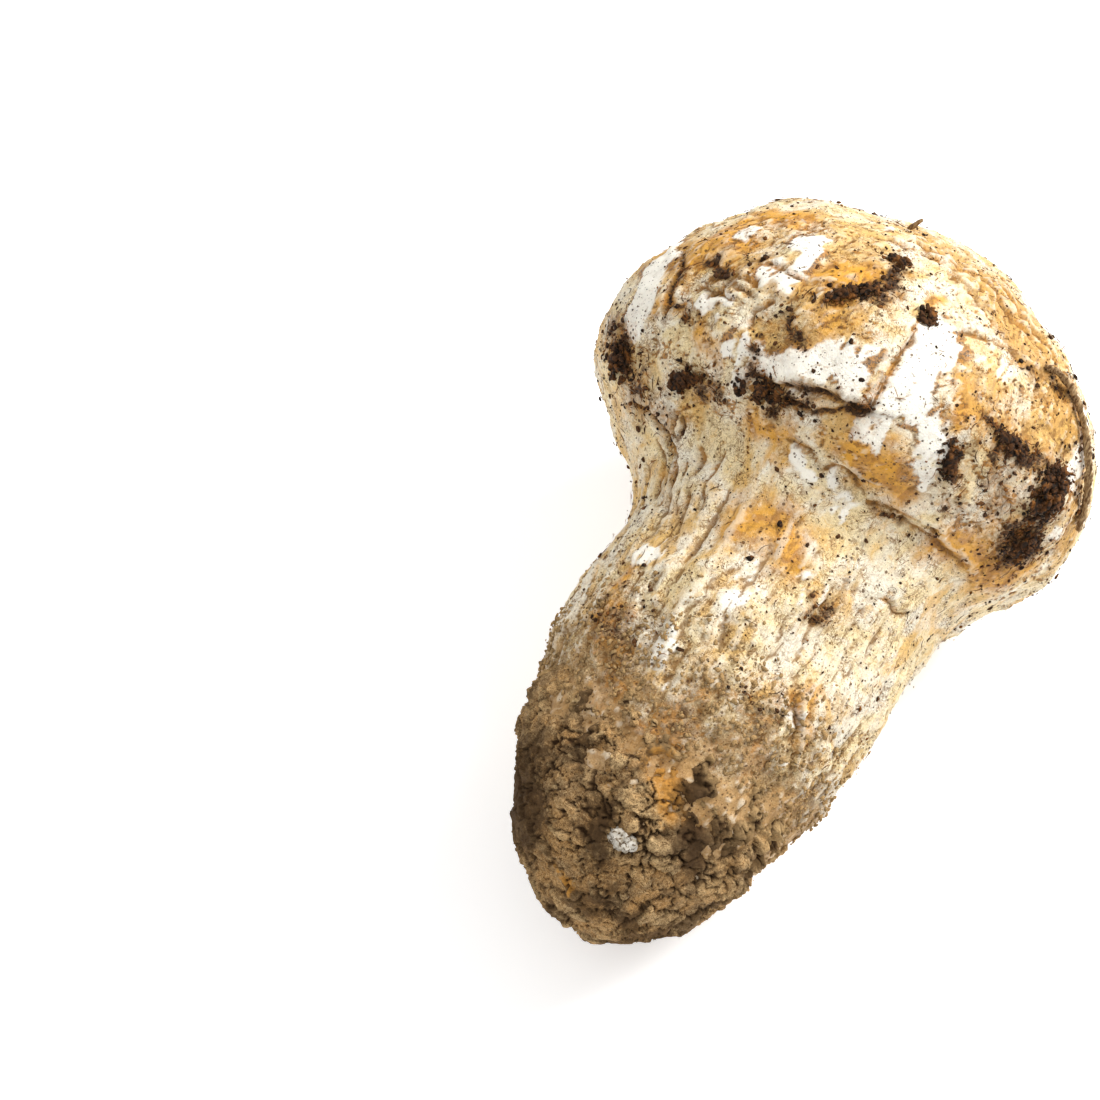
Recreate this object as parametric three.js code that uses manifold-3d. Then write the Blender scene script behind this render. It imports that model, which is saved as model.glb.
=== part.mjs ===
// A matsutake button, dug with its cap still closed, lying on its side. Cap, veil and stem grew as one
// solid body. What came up with it is loose: sandy earth caked round the foot, clods of dark leaf
// mould on the cap, a strip of bark, a twig end and a pebble. Millimetres, +Z up.
import * as THREE from "three";
import { mergeVertices } from "three/addons/utils/BufferGeometryUtils.js";
import Module from "manifold-3d";

const wasm = await Module();
wasm.setup();
const { degToRad, clamp } = THREE.MathUtils;

// ---- Driving dimensions ----
const LENGTH = 104; // foot of the stem to crown of the cap, along the axis
const LEAN = degToRad(11.5); // how far the axis rises from the surface, cap end up
const SETTLE = 0.6; // depth of the flats that its own weight presses into it
const GAP = 0.3; // air left between pieces that only touch
const RINGS = 48; // sections of the body from foot to crown
const SIDES = 56; // points in each section

// Half-widths of the body, measured from its axis. "at" runs from the foot to the crown. Seen from
// above with the cap at the top, "left" and "right" are as they sound, "up" faces the sky and "down"
// the surface that it lies on.
const STATIONS = [
  { at: 0, left: 0, right: 0, up: 0, down: 0 },
  { at: 4, left: 7.7, right: 8.9, up: 9.5, down: 9.5 },
  { at: 10, left: 12.2, right: 13.1, up: 14.4, down: 14.8 },
  { at: 18, left: 17, right: 17, up: 17.8, down: 18.4 },
  { at: 28, left: 20.4, right: 19.8, up: 20, down: 20 },
  { at: 40, left: 21.6, right: 20.9, up: 20.5, down: 19.5 },
  { at: 50, left: 20.2, right: 21.4, up: 20.5, down: 19.5 },
  { at: 56, left: 23.6, right: 22, up: 21.5, down: 22 },
  { at: 62, left: 31.8, right: 23.7, up: 24, down: 27 },
  { at: 67, left: 36.2, right: 27.4, up: 28.5, down: 30.5 },
  { at: 74, left: 37.7, right: 30.6, up: 32, down: 32.5 },
  { at: 84, left: 34.8, right: 28.8, up: 31, down: 31 },
  { at: 93, left: 28.8, right: 22, up: 25.5, down: 25.5 },
  { at: 100, left: 16.5, right: 12, up: 14.5, down: 14.5 },
  { at: LENGTH, left: 0, right: 0, up: 0, down: 0 },
];

// Swellings and hollows of the body: where, how wide and how high. "around" is in degrees from the
// right, over the top (90) to the left (180) and underneath (270).
const SWELLINGS = [
  { at: 69, around: 78, size: 11, height: 1.6 }, // brow of the cap's margin
  { at: 60, around: 68, size: 6, height: -1.3 }, // veil tucked under the brow
  { at: 60, around: 120, size: 7, height: -1.2 }, // dip between the brow and the left lobe
  { at: 67, around: 150, size: 9, height: 0.7 }, // left lobe
  { at: 68, around: 25, size: 10, height: 0.9 }, // right lobe
  { at: 58, around: 20, size: 7, height: -0.9 }, // veil tucked under the right lobe
  { at: 86, around: 70, size: 11, height: -0.7 }, // pressed place near the crown
  { at: 98, around: 72, size: 11, height: -1.7 }, // flatter crown on the right
  { at: 86, around: 21, size: 9, height: 1.1 }, // right shoulder
  { at: 42, around: 90, size: 11, height: 0.9 }, // ridge down the stem
  { at: 44, around: 52, size: 7, height: -0.8 }, // furrow beside the ridge
  { at: 32, around: 28, size: 10, height: 0.6 },
  { at: 30, around: 150, size: 10, height: 0.6 },
  { at: 24, around: 112, size: 8, height: -0.5 },
  { at: 72, around: 215, size: 12, height: 1.1 }, // lobes on the far side
  { at: 70, around: 325, size: 11, height: 0.9 },
  { at: 58, around: 250, size: 8, height: -0.9 },
  { at: 88, around: 300, size: 12, height: -0.7 },
  { at: 36, around: 240, size: 12, height: 0.7 },
];

// ---- The body's surface ----
const ALONG = new THREE.Vector3(0, Math.cos(LEAN), Math.sin(LEAN));
const UPWARD = new THREE.Vector3(0, -Math.sin(LEAN), Math.cos(LEAN));
const RIGHT = new THREE.Vector3(1, 0, 0);

// A section's latitude, from 0 at the foot to PI at the crown, which makes both ends round.
const latitudeOf = (at) => Math.acos(1 - (2 * at) / LENGTH);
const atLatitude = (latitude) => (LENGTH * (1 - Math.cos(latitude))) / 2;

// One half-width at a latitude, as a smooth curve through the stations.
function halfWidth(side, latitude) {
  const last = STATIONS.length - 1;
  const knots = STATIONS.map((station) => [latitudeOf(station.at), station[side]]);
  knots.push([2 * Math.PI - knots[last - 1][0], -knots[last - 1][1]]);
  knots.unshift([-knots[1][0], -knots[1][1]]);
  let i = 1;
  while (i < last && latitude > knots[i + 1][0]) i += 1;
  const slope = (k) => (knots[k + 1][1] - knots[k - 1][1]) / (knots[k + 1][0] - knots[k - 1][0]);
  const [from, to] = [knots[i], knots[i + 1]];
  const span = to[0] - from[0];
  const s = (latitude - from[0]) / span;
  const ease = s * s * (3 - 2 * s);
  const bend = s * (1 - s) * ((1 - s) * slope(i) - s * slope(i + 1));
  return from[1] * (1 - ease) + to[1] * ease + span * bend;
}

// A point of the plain body, before its swellings.
function plainPoint(latitude, around) {
  const across = Math.cos(around);
  const over = Math.sin(around);
  return new THREE.Vector3()
    .addScaledVector(ALONG, atLatitude(latitude))
    .addScaledVector(RIGHT, halfWidth(across > 0 ? "right" : "left", latitude) * across)
    .addScaledVector(UPWARD, halfWidth(over > 0 ? "up" : "down", latitude) * over);
}

// The way out of the body at a point: straight away from the nearest point of its core.
const CORE = { from: 20, to: 74 };
function outwardAt(point) {
  const at = clamp(point.dot(ALONG), CORE.from, CORE.to);
  return point.clone().addScaledVector(ALONG, -at).normalize();
}

// What a list of swellings adds at a point.
const placed = (list) =>
  list.map(({ at, around, size, height }) => ({
    centre: plainPoint(latitudeOf(at), degToRad(around)),
    size,
    height,
  }));
const swell = (list, point) =>
  list.reduce(
    (sum, { centre, size, height }) =>
      sum + height * Math.exp(-point.distanceToSquared(centre) / (size * size)),
    0,
  );
const bodySwellings = placed(SWELLINGS);

// A point of the body, or of a skin that lies "above" it by some millimetres.
function bodyPoint(latitude, around, above = 0) {
  const point = plainPoint(latitude, around);
  return point.addScaledVector(outwardAt(point), swell(bodySwellings, point) + above);
}

// ---- Solids ----
// A closed skin of rings from one pole to the other. pointAt(share, around) gives its points.
function skin(rings, sides, pointAt) {
  const points = [pointAt(0, 0)];
  for (let ring = 1; ring < rings; ring += 1) {
    for (let side = 0; side < sides; side += 1) {
      points.push(pointAt(ring / rings, (2 * Math.PI * side) / sides));
    }
  }
  points.push(pointAt(1, 0));
  const last = points.length - 1;
  const faces = [];
  for (let side = 0; side < sides; side += 1) {
    const next = (side + 1) % sides;
    faces.push(0, 1 + side, 1 + next);
    faces.push(last, last - sides + next, last - sides + side);
    for (let ring = 0; ring < rings - 2; ring += 1) {
      const low = 1 + ring * sides;
      const high = low + sides;
      faces.push(low + side, high + side, high + next);
      faces.push(low + side, high + next, low + next);
    }
  }
  return solidOf(new THREE.BufferGeometry().setFromPoints(points).setIndex(faces));
}

// A geometry as a solid that can be joined and cut.
function solidOf(geometry) {
  const bare = new THREE.BufferGeometry();
  bare.setAttribute("position", geometry.getAttribute("position"));
  bare.setIndex(geometry.index);
  const merged = mergeVertices(bare, 1e-4);
  return new wasm.Manifold(
    new wasm.Mesh({
      numProp: 3,
      vertProperties: new Float32Array(merged.getAttribute("position").array),
      triVerts: new Uint32Array(merged.index.array),
    }),
  );
}

function geometryOf(solid) {
  const mesh = solid.getMesh();
  const geometry = new THREE.BufferGeometry();
  geometry.setAttribute("position", new THREE.BufferAttribute(mesh.vertProperties, 3));
  geometry.setIndex(new THREE.BufferAttribute(mesh.triVerts, 1));
  geometry.computeVertexNormals();
  return geometry;
}

const bodySkin = (above) =>
  skin(RINGS, SIDES, (share, around) => bodyPoint(share * Math.PI, around, above));

// ---- Earth caked round the foot ----
const CRUST = { rings: 15, sides: 48, top: 20, thick: 1.3, rim: 0.7 };
// Places where the earth is thicker or thinner.
const CRUST_LUMPS = placed([
  { at: 9, around: 158, size: 8, height: 1.1 },
  { at: 12, around: 60, size: 7, height: -0.3 },
  { at: 17, around: 265, size: 9, height: 3.2 },
]);
// The earth reaches furthest up the left side and the underside.
const crustTop = (around) =>
  CRUST.top + 2.2 * Math.cos(around - Math.PI) + 1.1 * Math.sin(3 * around) + 0.8 * Math.cos(5 * around);

// Out from the foot over the earth's outer face, then back inside it, a gap clear of the body.
function crustPoint(share, around) {
  const outside = share < 0.5;
  const way = outside ? 2 * share : 2 * (1 - share);
  const latitude = way * latitudeOf(crustTop(around));
  if (!outside) return bodyPoint(latitude, around, GAP);
  const point = plainPoint(latitude, around);
  const thick = CRUST.thick + swell(CRUST_LUMPS, point);
  return bodyPoint(latitude, around, GAP + thick + (CRUST.rim - thick) * way ** 4);
}

// ---- Loose pieces on the body ----
// A place on the body: its frame has Z out of the body, Y along it towards the crown (turned by "turn"
// degrees towards the left) and X across it.
function seat({ at, around, turn = 0 }, above = 0) {
  const origin = bodyPoint(latitudeOf(at), degToRad(around));
  const out = outwardAt(origin);
  const along = ALONG.clone().addScaledVector(out, -ALONG.dot(out)).normalize();
  along.applyAxisAngle(out, degToRad(turn));
  const across = along.clone().cross(out);
  return new THREE.Matrix4()
    .makeBasis(across, along, out)
    .setPosition(origin.addScaledVector(out, above));
}

// A lump: a ball drawn out to its size, with low waves on it. "thick" is how far it stands up from its
// middle, which is "above" the body.
const WAVES = { share: 0.14, pace: 3.1 };
function lump({ across, along, thick, phase = 0, above = 0, ...place }) {
  const ball = new THREE.IcosahedronGeometry(1, 3);
  const points = ball.getAttribute("position");
  const point = new THREE.Vector3();
  for (let i = 0; i < points.count; i += 1) {
    const { x, y, z } = point.fromBufferAttribute(points, i);
    const wave =
      Math.sin(WAVES.pace * x + phase) * Math.sin(WAVES.pace * y + 2 * phase) +
      Math.cos(WAVES.pace * z + 3 * phase) * Math.sin(WAVES.pace * (x - y) - phase);
    point.multiplyScalar(1 + WAVES.share * wave);
    points.setXYZ(i, (point.x * across) / 2, (point.y * along) / 2, point.z * thick);
  }
  return solidOf(ball.applyMatrix4(seat(place, above)));
}

// The same lump with a margin all round it.
const grown = (spec, margin) => ({
  ...spec,
  across: spec.across + 2 * margin,
  along: spec.along + 2 * margin,
  thick: spec.thick + margin,
});

// Leaf mould stuck to the cap.
const MOULD = {
  mould_left_rim: { at: 65, around: 149, turn: 45, across: 6, along: 8.5, thick: 1.5, phase: 0.4 },
  mould_front_left: { at: 64.4, around: 125, across: 7, along: 4.2, thick: 1.4, phase: 1.3 },
  mould_front: { at: 65.8, around: 103, turn: 15, across: 6.8, along: 3.2, thick: 1.4, phase: 2.2 },
  mould_band: { at: 80.5, around: 96, turn: 44, across: 9, along: 2.8, thick: 1.2, phase: 3.1 },
  mould_crown: { at: 88, around: 93, across: 3, along: 3.2, thick: 1.5, phase: 4 },
  mould_pellet: { at: 83, around: 78.5, across: 2.6, along: 2.6, thick: 1.6, phase: 5 },
  mould_streak: { at: 70, around: 57, turn: 30, across: 2.6, along: 6.5, thick: 1.3, phase: 5.8 },
  mould_right_top: { at: 75.3, around: 46, turn: -8, across: 7, along: 3, thick: 1.4, phase: 0.9 },
  mould_right: { at: 74.5, around: 28, turn: 5, across: 6, along: 8.5, thick: 1.9, phase: 1.7 },
  mould_right_low: { at: 69, around: 20, across: 5, along: 5, thick: 1.6, phase: 2.6 },
  mould_far_left: { at: 76, around: 205, turn: 30, across: 7, along: 4.5, thick: 1.5, phase: 3.6 },
  mould_far_right: { at: 82, around: 332, turn: -20, across: 6, along: 4, thick: 1.4, phase: 4.6 },
};

// A pebble held in the earth on the foot.
const PEBBLE = { at: 10, around: 76, turn: 95, across: 2.8, along: 4, thick: 1.7, above: 0.9 };

// A strip of bark that lies along the cap's right side.
const BARK = { width: 1.7, thick: 0.7, above: 0.75 };
const BARK_ROUTE = [
  { at: 87.5, around: 43 },
  { at: 87.8, around: 36 },
  { at: 85.5, around: 29 },
  { at: 82.5, around: 23 },
  { at: 79, around: 15 },
  { at: 75.5, around: 8 },
];
function barkStrip() {
  const route = BARK_ROUTE.map(({ at, around }) =>
    bodyPoint(latitudeOf(at), degToRad(around), BARK.above),
  );
  const section = new THREE.Shape();
  section.absellipse(0, 0, BARK.thick / 2, BARK.width / 2, 0, 2 * Math.PI);
  const strip = new THREE.ExtrudeGeometry(section, {
    steps: 20,
    curveSegments: 5,
    extrudePath: new THREE.CatmullRomCurve3(route),
  });
  return solidOf(strip);
}

// A broken twig end that stands off the crown of the cap.
const TWIG = { at: 97, around: 103, foot: 0.45, tip: 0.3, length: 3, tilt: degToRad(40) };
function twigEnd() {
  const stick = new THREE.CylinderGeometry(TWIG.tip, TWIG.foot, TWIG.length, 8);
  stick.translate(0, TWIG.length / 2, 0).rotateX(Math.PI / 2).rotateY(TWIG.tilt);
  return solidOf(stick.applyMatrix4(seat(TWIG)));
}

// ---- Assembly ----
const finish = (color, roughness) => new THREE.MeshStandardMaterial({ color, roughness });
const FLESH = finish("#e3d2b0", 0.75);
const EARTH = finish("#8f7758", 0.95);
const LEAF_MOULD = finish("#3f2c1e", 0.95);
const BARK_BROWN = finish("#6b4f36", 0.9);
const STONE = finish("#b9b0a0", 0.6);

const body = bodySkin(0);
const clearOfBody = bodySkin(GAP);
const crust = skin(2 * CRUST.rings, CRUST.sides, crustPoint).subtract(lump(grown(PEBBLE, GAP)));

// Its weight presses flat whatever would reach under the surface that it lies on.
const lowest = Math.min(body.boundingBox().min[2], crust.boundingBox().min[2]);
const SLAB = 400;
const slab = solidOf(
  new THREE.BoxGeometry(SLAB, SLAB, SLAB).translate(0, 0, lowest + SETTLE - SLAB / 2),
);

const mushroom = new THREE.Group();
function place(name, solid, material) {
  const mesh = new THREE.Mesh(geometryOf(solid), material);
  mesh.name = name;
  mushroom.add(mesh);
}
place("mushroom_body", body.subtract(slab), FLESH);
place("soil_crust", crust.subtract(slab), EARTH);
for (const [name, spec] of Object.entries(MOULD)) {
  place(name, lump(spec).subtract(clearOfBody), LEAF_MOULD);
}
place("bark_strip", barkStrip().subtract(clearOfBody), BARK_BROWN);
place("twig_end", twigEnd().subtract(clearOfBody), BARK_BROWN);
place("pebble", lump(PEBBLE).subtract(clearOfBody), STONE);

// The origin is the middle of the footprint, on the surface that it lies on.
const bounds = new THREE.Box3().setFromObject(mushroom);
const middle = bounds.getCenter(new THREE.Vector3());
mushroom.position.set(-middle.x, -middle.y, -bounds.min.z);

export default mushroom;
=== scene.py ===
"""A matsutake button on its side: flesh, caked earth, leaf mould, bark, a twig, a pebble and grit.

The body is measured in millimetres from the foot of the stem: x across to the right, y along the axis
to the crown and z up from the axis. A place on it is (at, around): millimetres along the axis, and
degrees from the right, over the top (90), to the left (180) and underneath (270).
"""
import math
from itertools import product

import bmesh
import bpy
import numpy as np
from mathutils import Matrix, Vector


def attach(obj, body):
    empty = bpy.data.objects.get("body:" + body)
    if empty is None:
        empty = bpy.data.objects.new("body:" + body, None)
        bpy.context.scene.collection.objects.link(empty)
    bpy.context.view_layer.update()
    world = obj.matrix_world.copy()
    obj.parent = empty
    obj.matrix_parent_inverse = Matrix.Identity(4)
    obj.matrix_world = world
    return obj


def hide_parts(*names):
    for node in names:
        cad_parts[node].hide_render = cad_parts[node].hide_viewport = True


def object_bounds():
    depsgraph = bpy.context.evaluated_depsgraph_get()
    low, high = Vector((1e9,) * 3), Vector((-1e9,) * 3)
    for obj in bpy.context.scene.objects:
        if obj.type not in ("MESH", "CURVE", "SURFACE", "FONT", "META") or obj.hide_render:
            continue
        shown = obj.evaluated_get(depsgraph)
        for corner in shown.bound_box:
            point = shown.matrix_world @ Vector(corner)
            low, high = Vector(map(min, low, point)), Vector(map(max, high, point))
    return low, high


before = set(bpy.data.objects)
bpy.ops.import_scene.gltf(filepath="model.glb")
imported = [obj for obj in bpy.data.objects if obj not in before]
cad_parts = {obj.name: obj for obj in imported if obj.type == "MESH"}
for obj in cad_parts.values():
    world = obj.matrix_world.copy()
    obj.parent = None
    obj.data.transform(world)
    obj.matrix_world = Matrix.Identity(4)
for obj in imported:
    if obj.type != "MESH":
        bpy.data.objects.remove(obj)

CAD_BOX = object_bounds()
MM = 0.001
LEAN = math.radians(11.5)  # how far the axis rises from the surface, as the frame was built

# ---- Measures of the whole ----
FLESH_VOXEL = 0.51  # mm, just coarse enough to keep the flesh under 200,000 triangles
EARTH_TOP = 27.0  # the last patches of earth reach about this far up the stem
FLOOR_GAP = 0.02  # mm that everything stays above the floor

AXES = np.array([
    [1, 0, 0],
    [0, math.cos(LEAN), math.sin(LEAN)],
    [0, -math.sin(LEAN), math.cos(LEAN)],
])


# ---- Noise ----
RNG = np.random.default_rng(58)
PERM = np.tile(RNG.permutation(256), 3)
GRADS = np.array([g for g in product((-1, 0, 1), repeat=3) if sum(map(abs, g)) == 2], float)


def hashed(cell, seed):
    """A number from 0 to 255 for each whole-number cell."""
    x, y, z = (cell & 255).T
    return PERM[PERM[PERM[(x + seed * 37) & 255] + y] + z]


def noise(points, size, seed=0):
    """Smooth noise from about -1 to 1, with features about size apart."""
    p = points / size + 0.37 * seed
    cell = np.floor(p).astype(int)
    f = p - cell
    ease = f * f * f * (f * (f * 6 - 15) + 10)
    total = np.zeros(len(p))
    for corner in product((0, 1), repeat=3):
        c = np.array(corner)
        grad = GRADS[hashed(cell + c, seed) % 12]
        weight = np.where(c, ease, 1 - ease).prod(axis=1)
        total += weight * ((f - c) * grad).sum(axis=1)
    return total * 1.5


def layered(points, size, seed=0, layers=3, keep=0.5):
    total, share = np.zeros(len(points)), 1.0
    for layer in range(layers):
        total += share * noise(points, size / 2 ** layer, seed + 5 * layer)
        share *= keep
    return total


def cells(points, size, seed=0, stretch=(1, 1, 1)):
    """Distance to the nearest grain, how much nearer it is than the next one, and its own number."""
    p = points / (size * np.array(stretch))
    home = np.floor(p).astype(int)
    near = np.full(len(p), 9.0)
    second = np.full(len(p), 9.0)
    number = np.zeros(len(p))
    for step in product((-1, 0, 1), repeat=3):
        cell = home + np.array(step)
        h = hashed(cell, seed)
        spots = np.stack([PERM[h], PERM[h + 1], PERM[h + 2]], axis=1) / 255
        d = np.linalg.norm(cell + spots - p, axis=1)
        closer = d < near
        second = np.where(closer, near, np.minimum(second, d))
        number = np.where(closer, h / 255, number)
        near = np.where(closer, d, near)
    return near, second - near, number


def step(low, high, x):
    s = np.clip((x - low) / (high - low), 0, 1)
    return s * s * (3 - 2 * s)


# ---- Meshes ----
def points_of(mesh):
    co = np.empty(len(mesh.vertices) * 3)
    mesh.vertices.foreach_get("co", co)
    return co.reshape(-1, 3)


def normals_of(mesh):
    out = np.empty(len(mesh.vertices) * 3)
    mesh.vertices.foreach_get("normal", out)
    return out.reshape(-1, 3)


def pairs_of(mesh):
    out = np.empty(len(mesh.edges) * 2, int)
    mesh.edges.foreach_get("vertices", out)
    return out.reshape(-1, 2)


def smoothed(values, pairs, rounds, share=0.5):
    """values, each drawn towards the mean of its neighbours."""
    count = len(values)
    ends = np.concatenate([pairs[:, 0], pairs[:, 1]])
    others = np.concatenate([pairs[:, 1], pairs[:, 0]])
    degree = np.maximum(np.bincount(ends, minlength=count), 1)
    flat = values.ndim == 1
    v = values.reshape(count, -1).copy()
    for _ in range(rounds):
        mean = np.stack([np.bincount(ends, col[others], count) for col in v.T], axis=1)
        v += share * (mean / degree[:, None] - v)
    return v[:, 0] if flat else v


def applied(obj):
    """The mesh that obj's modifiers make, as a new mesh."""
    graph = bpy.context.evaluated_depsgraph_get()
    mesh = bpy.data.meshes.new_from_object(obj.evaluated_get(graph))
    bpy.data.objects.remove(obj)
    return mesh


def remeshed(source, voxel, subdivisions=2):
    """A copy of a CAD mesh in even quads, voxel millimetres wide."""
    obj = bpy.data.objects.new("work", source.copy())
    bpy.context.scene.collection.objects.link(obj)
    obj.modifiers.new("join", "WELD").merge_threshold = 0.001 * MM
    if subdivisions:
        obj.modifiers.new("round", "SUBSURF").levels = subdivisions
    mod = obj.modifiers.new("even", "REMESH")
    mod.mode = "VOXEL"
    mod.voxel_size = voxel * MM
    return applied(obj)


def set_points(mesh, row_points):
    mesh.vertices.foreach_set("co", np.ascontiguousarray(row_points, float).ravel())
    mesh.update()


def set_floats(mesh, name, values):
    mesh.attributes.new(name, "FLOAT", "POINT").data.foreach_set("value", values.astype(np.float32))


def set_vectors(mesh, name, values):
    data = mesh.attributes.new(name, "FLOAT_VECTOR", "POINT").data
    data.foreach_set("vector", values.astype(np.float32).ravel())


def above_floor(row_points):
    out = row_points.copy()
    out[:, 2] = np.maximum(out[:, 2], FLOOR_GAP * MM)
    return out


def show(name, mesh, material, nodes=()):
    """A piece of the mushroom, which rides on the frame's root."""
    for poly in mesh.polygons:
        poly.use_smooth = True
    mesh.materials.clear()
    mesh.materials.append(material)
    obj = bpy.data.objects.new(name, mesh)
    bpy.context.scene.collection.objects.link(obj)
    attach(obj, "root")
    if nodes:
        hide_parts(*nodes)
    return obj


# ---- The body's own space ----
CAD_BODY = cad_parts["mushroom_body"].data
CAD_POINTS = points_of(CAD_BODY)
FOOT = CAD_POINTS[np.argmin(CAD_POINTS @ AXES[1])]


def to_body(row_points):
    return (row_points - FOOT) @ AXES.T / MM


def to_row(body_points):
    return body_points @ AXES * MM + FOOT


SKIN_MESH = remeshed(CAD_BODY, FLESH_VOXEL)
SKIN_PAIRS = pairs_of(SKIN_MESH)
set_points(SKIN_MESH, smoothed(points_of(SKIN_MESH), SKIN_PAIRS, 12))
SKIN = to_body(points_of(SKIN_MESH))
OUT = normals_of(SKIN_MESH) @ AXES.T
AT = SKIN[:, 1]
RADIUS = np.hypot(SKIN[:, 0], SKIN[:, 2])
AROUND = np.arctan2(SKIN[:, 2], SKIN[:, 0])
# The skin's points moved about a little, which gives marks on it ragged edges.
WARP = np.stack([layered(SKIN, 4.5, s, 3, 0.55) for s in (11, 12, 13)], axis=1)
RAGGED = SKIN + 1.5 * WARP


def vertex_at(at, around):
    """The skin's vertex nearest to a place."""
    swing = np.angle(np.exp(1j * (AROUND - math.radians(around))))
    return int(np.argmin((AT - at) ** 2 + (RADIUS * swing) ** 2))


def trail(route, gap=1.5):
    """Skin points along a route of places."""
    found = [vertex_at(*route[0])]
    for (at0, ar0), (at1, ar1) in zip(route, route[1:]):
        reach = np.linalg.norm(SKIN[vertex_at(at0, ar0)] - SKIN[vertex_at(at1, ar1)])
        steps = max(1, round(reach / gap))
        for k in range(1, steps + 1):
            t = k / steps
            found.append(vertex_at(at0 + t * (at1 - at0), ar0 + t * (ar1 - ar0)))
    return np.array(found)


def distance(route, points=RAGGED):
    """How far points are from a route, and the side they are on: positive on its left."""
    line = trail(route)
    best = np.full(len(points), 1e9)
    side = np.zeros(len(points))
    starts, ends = (line[:-1], line[1:]) if len(line) > 1 else (line, line)
    for a, b in zip(starts, ends):
        way = SKIN[b] - SKIN[a]
        offset = points - SKIN[a]
        along = np.clip(offset @ way / max(way @ way, 1e-9), 0, 1)
        away = offset - along[:, None] * way
        d = np.linalg.norm(away, axis=1)
        closer = d < best
        best = np.where(closer, d, best)
        side = np.where(closer, np.sign(away @ np.cross(OUT[a], way)), side)
    return best, side


def marks(features, soft=0.45):
    """1 on the features and 0 off them. Each is (half width in mm, strength, route)."""
    total = np.zeros(len(SKIN))
    for wide, strength, route in features.values():
        d = distance(route)[0]
        total = np.maximum(total, strength * step(wide * (1 + soft), wide * (1 - soft), d))
    return total


def stains(features, spread=1.25, points=RAGGED):
    """Like marks, but each fades away slowly from its route, and they add up."""
    clear = np.ones(len(points))
    for wide, strength, route in features.values():
        d = distance(route, points)[0]
        clear *= 1 - strength * np.exp(-((d / (spread * wide)) ** 2))
    return 1 - clear


# ---- Where the marks are: (half width, strength, route of places) ----
WHITE = {
    "left shoulder": (2.9, 1, [(79, 150), (72, 145), (69, 148)]),
    "crown left": (1.2, 0.9, [(84.5, 135), (85, 130)]),
    "crown": (2.2, 1, [(85.5, 114), (81, 112), (79, 115)]),
    "under the fold": (1.3, 1, [(71.5, 132), (73.5, 123)]),
    "mid left": (1.9, 0.9, [(69.5, 117), (68.5, 109)]),
    "middle": (2.9, 1, [(68.5, 107), (70, 95), (71, 86)]),
    "right": (3.6, 1, [(80, 71), (74, 75), (70, 74)]),
    "right below": (2.4, 0.75, [(70, 64), (66.5, 60)]),
    "right shoulder": (2.6, 0.7, [(82, 57), (80.5, 53)]),
    "right rim": (2.1, 1, [(87, 27), (83, 22), (77, 26)]),
    "crown flake": (0.8, 0.9, [(88.5, 83), (88, 81)]),
    "brow": (1.3, 0.7, [(61.8, 92), (60.5, 90)]),
    "veil": (1.7, 0.7, [(61, 80), (58.5, 70)]),
    "scar": (2.0, 1, [(43, 127.5), (41, 126.5)]),
    "flap": (0.9, 1, [(34, 48), (31.5, 42), (30.5, 39)]),
    "small scar": (0.6, 1, [(43.5, 120), (43, 120)]),
    # Painted highlights where the light falls across the stem, not white flesh:
    "stem": (1.9, 0.9, [(46, 87), (42, 85.5)]),
    "stem right": (1.9, 0.55, [(49.5, 66), (45, 66)]),
    "stem streak": (1.7, 0.55, [(34, 101), (28.5, 98)]),
    "rim below": (1.3, 0.7, [(73.5, 12), (75, 17)]),
    "far left": (3.2, 1, [(78, 196), (72, 189), (68, 192)]),
    "far under": (3.5, 0.9, [(84, 250), (80, 262)]),
    "far right": (3.0, 1, [(78, 338), (74, 326)]),
    "far crown": (2.6, 0.9, [(97, 210), (95, 250)]),
    "far stem": (2.0, 0.7, [(46, 215), (40, 220)]),
    "far stem right": (1.8, 0.7, [(44, 335), (37, 330)]),
    "far margin": (2.4, 0.8, [(66, 285), (64, 300)]),
}
OCHRE = {
    "crown left": (3.2, 1, [(83, 134), (79, 141)]),
    "crown": (2.4, 0.9, [(88.5, 137), (89.5, 122)]),
    "bright": (2.2, 1, [(82, 105), (84, 101)]),
    "beside the band": (1.8, 1, [(83, 97), (85, 94)]),
    "below the band": (2.0, 0.85, [(77, 98), (79.5, 97)]),
    "pellet": (1.4, 0.9, [(85.5, 78), (86, 76)]),
    "right spot": (1.7, 1, [(77, 65), (75, 61)]),
    "front right": (3.0, 0.85, [(66, 78), (64.5, 70), (63.5, 62)]),
    "under the brow": (2.3, 0.75, [(62.5, 105), (62, 97)]),
    "neck": (3.2, 0.8, [(51.5, 97), (52.5, 83), (49.5, 76)]),
    "veil right": (3.2, 0.85, [(63, 38), (64.5, 23), (66, 9)]),
    "flap": (2.0, 0.7, [(36, 48), (31, 37)]),
    "in the earth": (1.6, 0.8, [(18.5, 76), (17, 68)]),
    "left shoulder's edge": (1.0, 0.9, [(74, 138), (71, 138)]),
    "stem left": (2.2, 0.7, [(39, 128), (32, 130)]),
    "left of the middle": (1.8, 0.6, [(69, 127), (68, 121)]),
    "middle": (2.0, 0.5, [(76.5, 90), (74, 95)]),
    "far left": (3.6, 0.8, [(84, 185), (76, 178)]),
    "far under": (4.0, 0.8, [(72, 245), (66, 262)]),
    "far right": (3.4, 0.8, [(86, 318), (80, 305)]),
    "far neck": (3.0, 0.7, [(52, 255), (50, 290)]),
    "far crown": (3.0, 0.8, [(101, 300), (98, 180)]),
}
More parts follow.
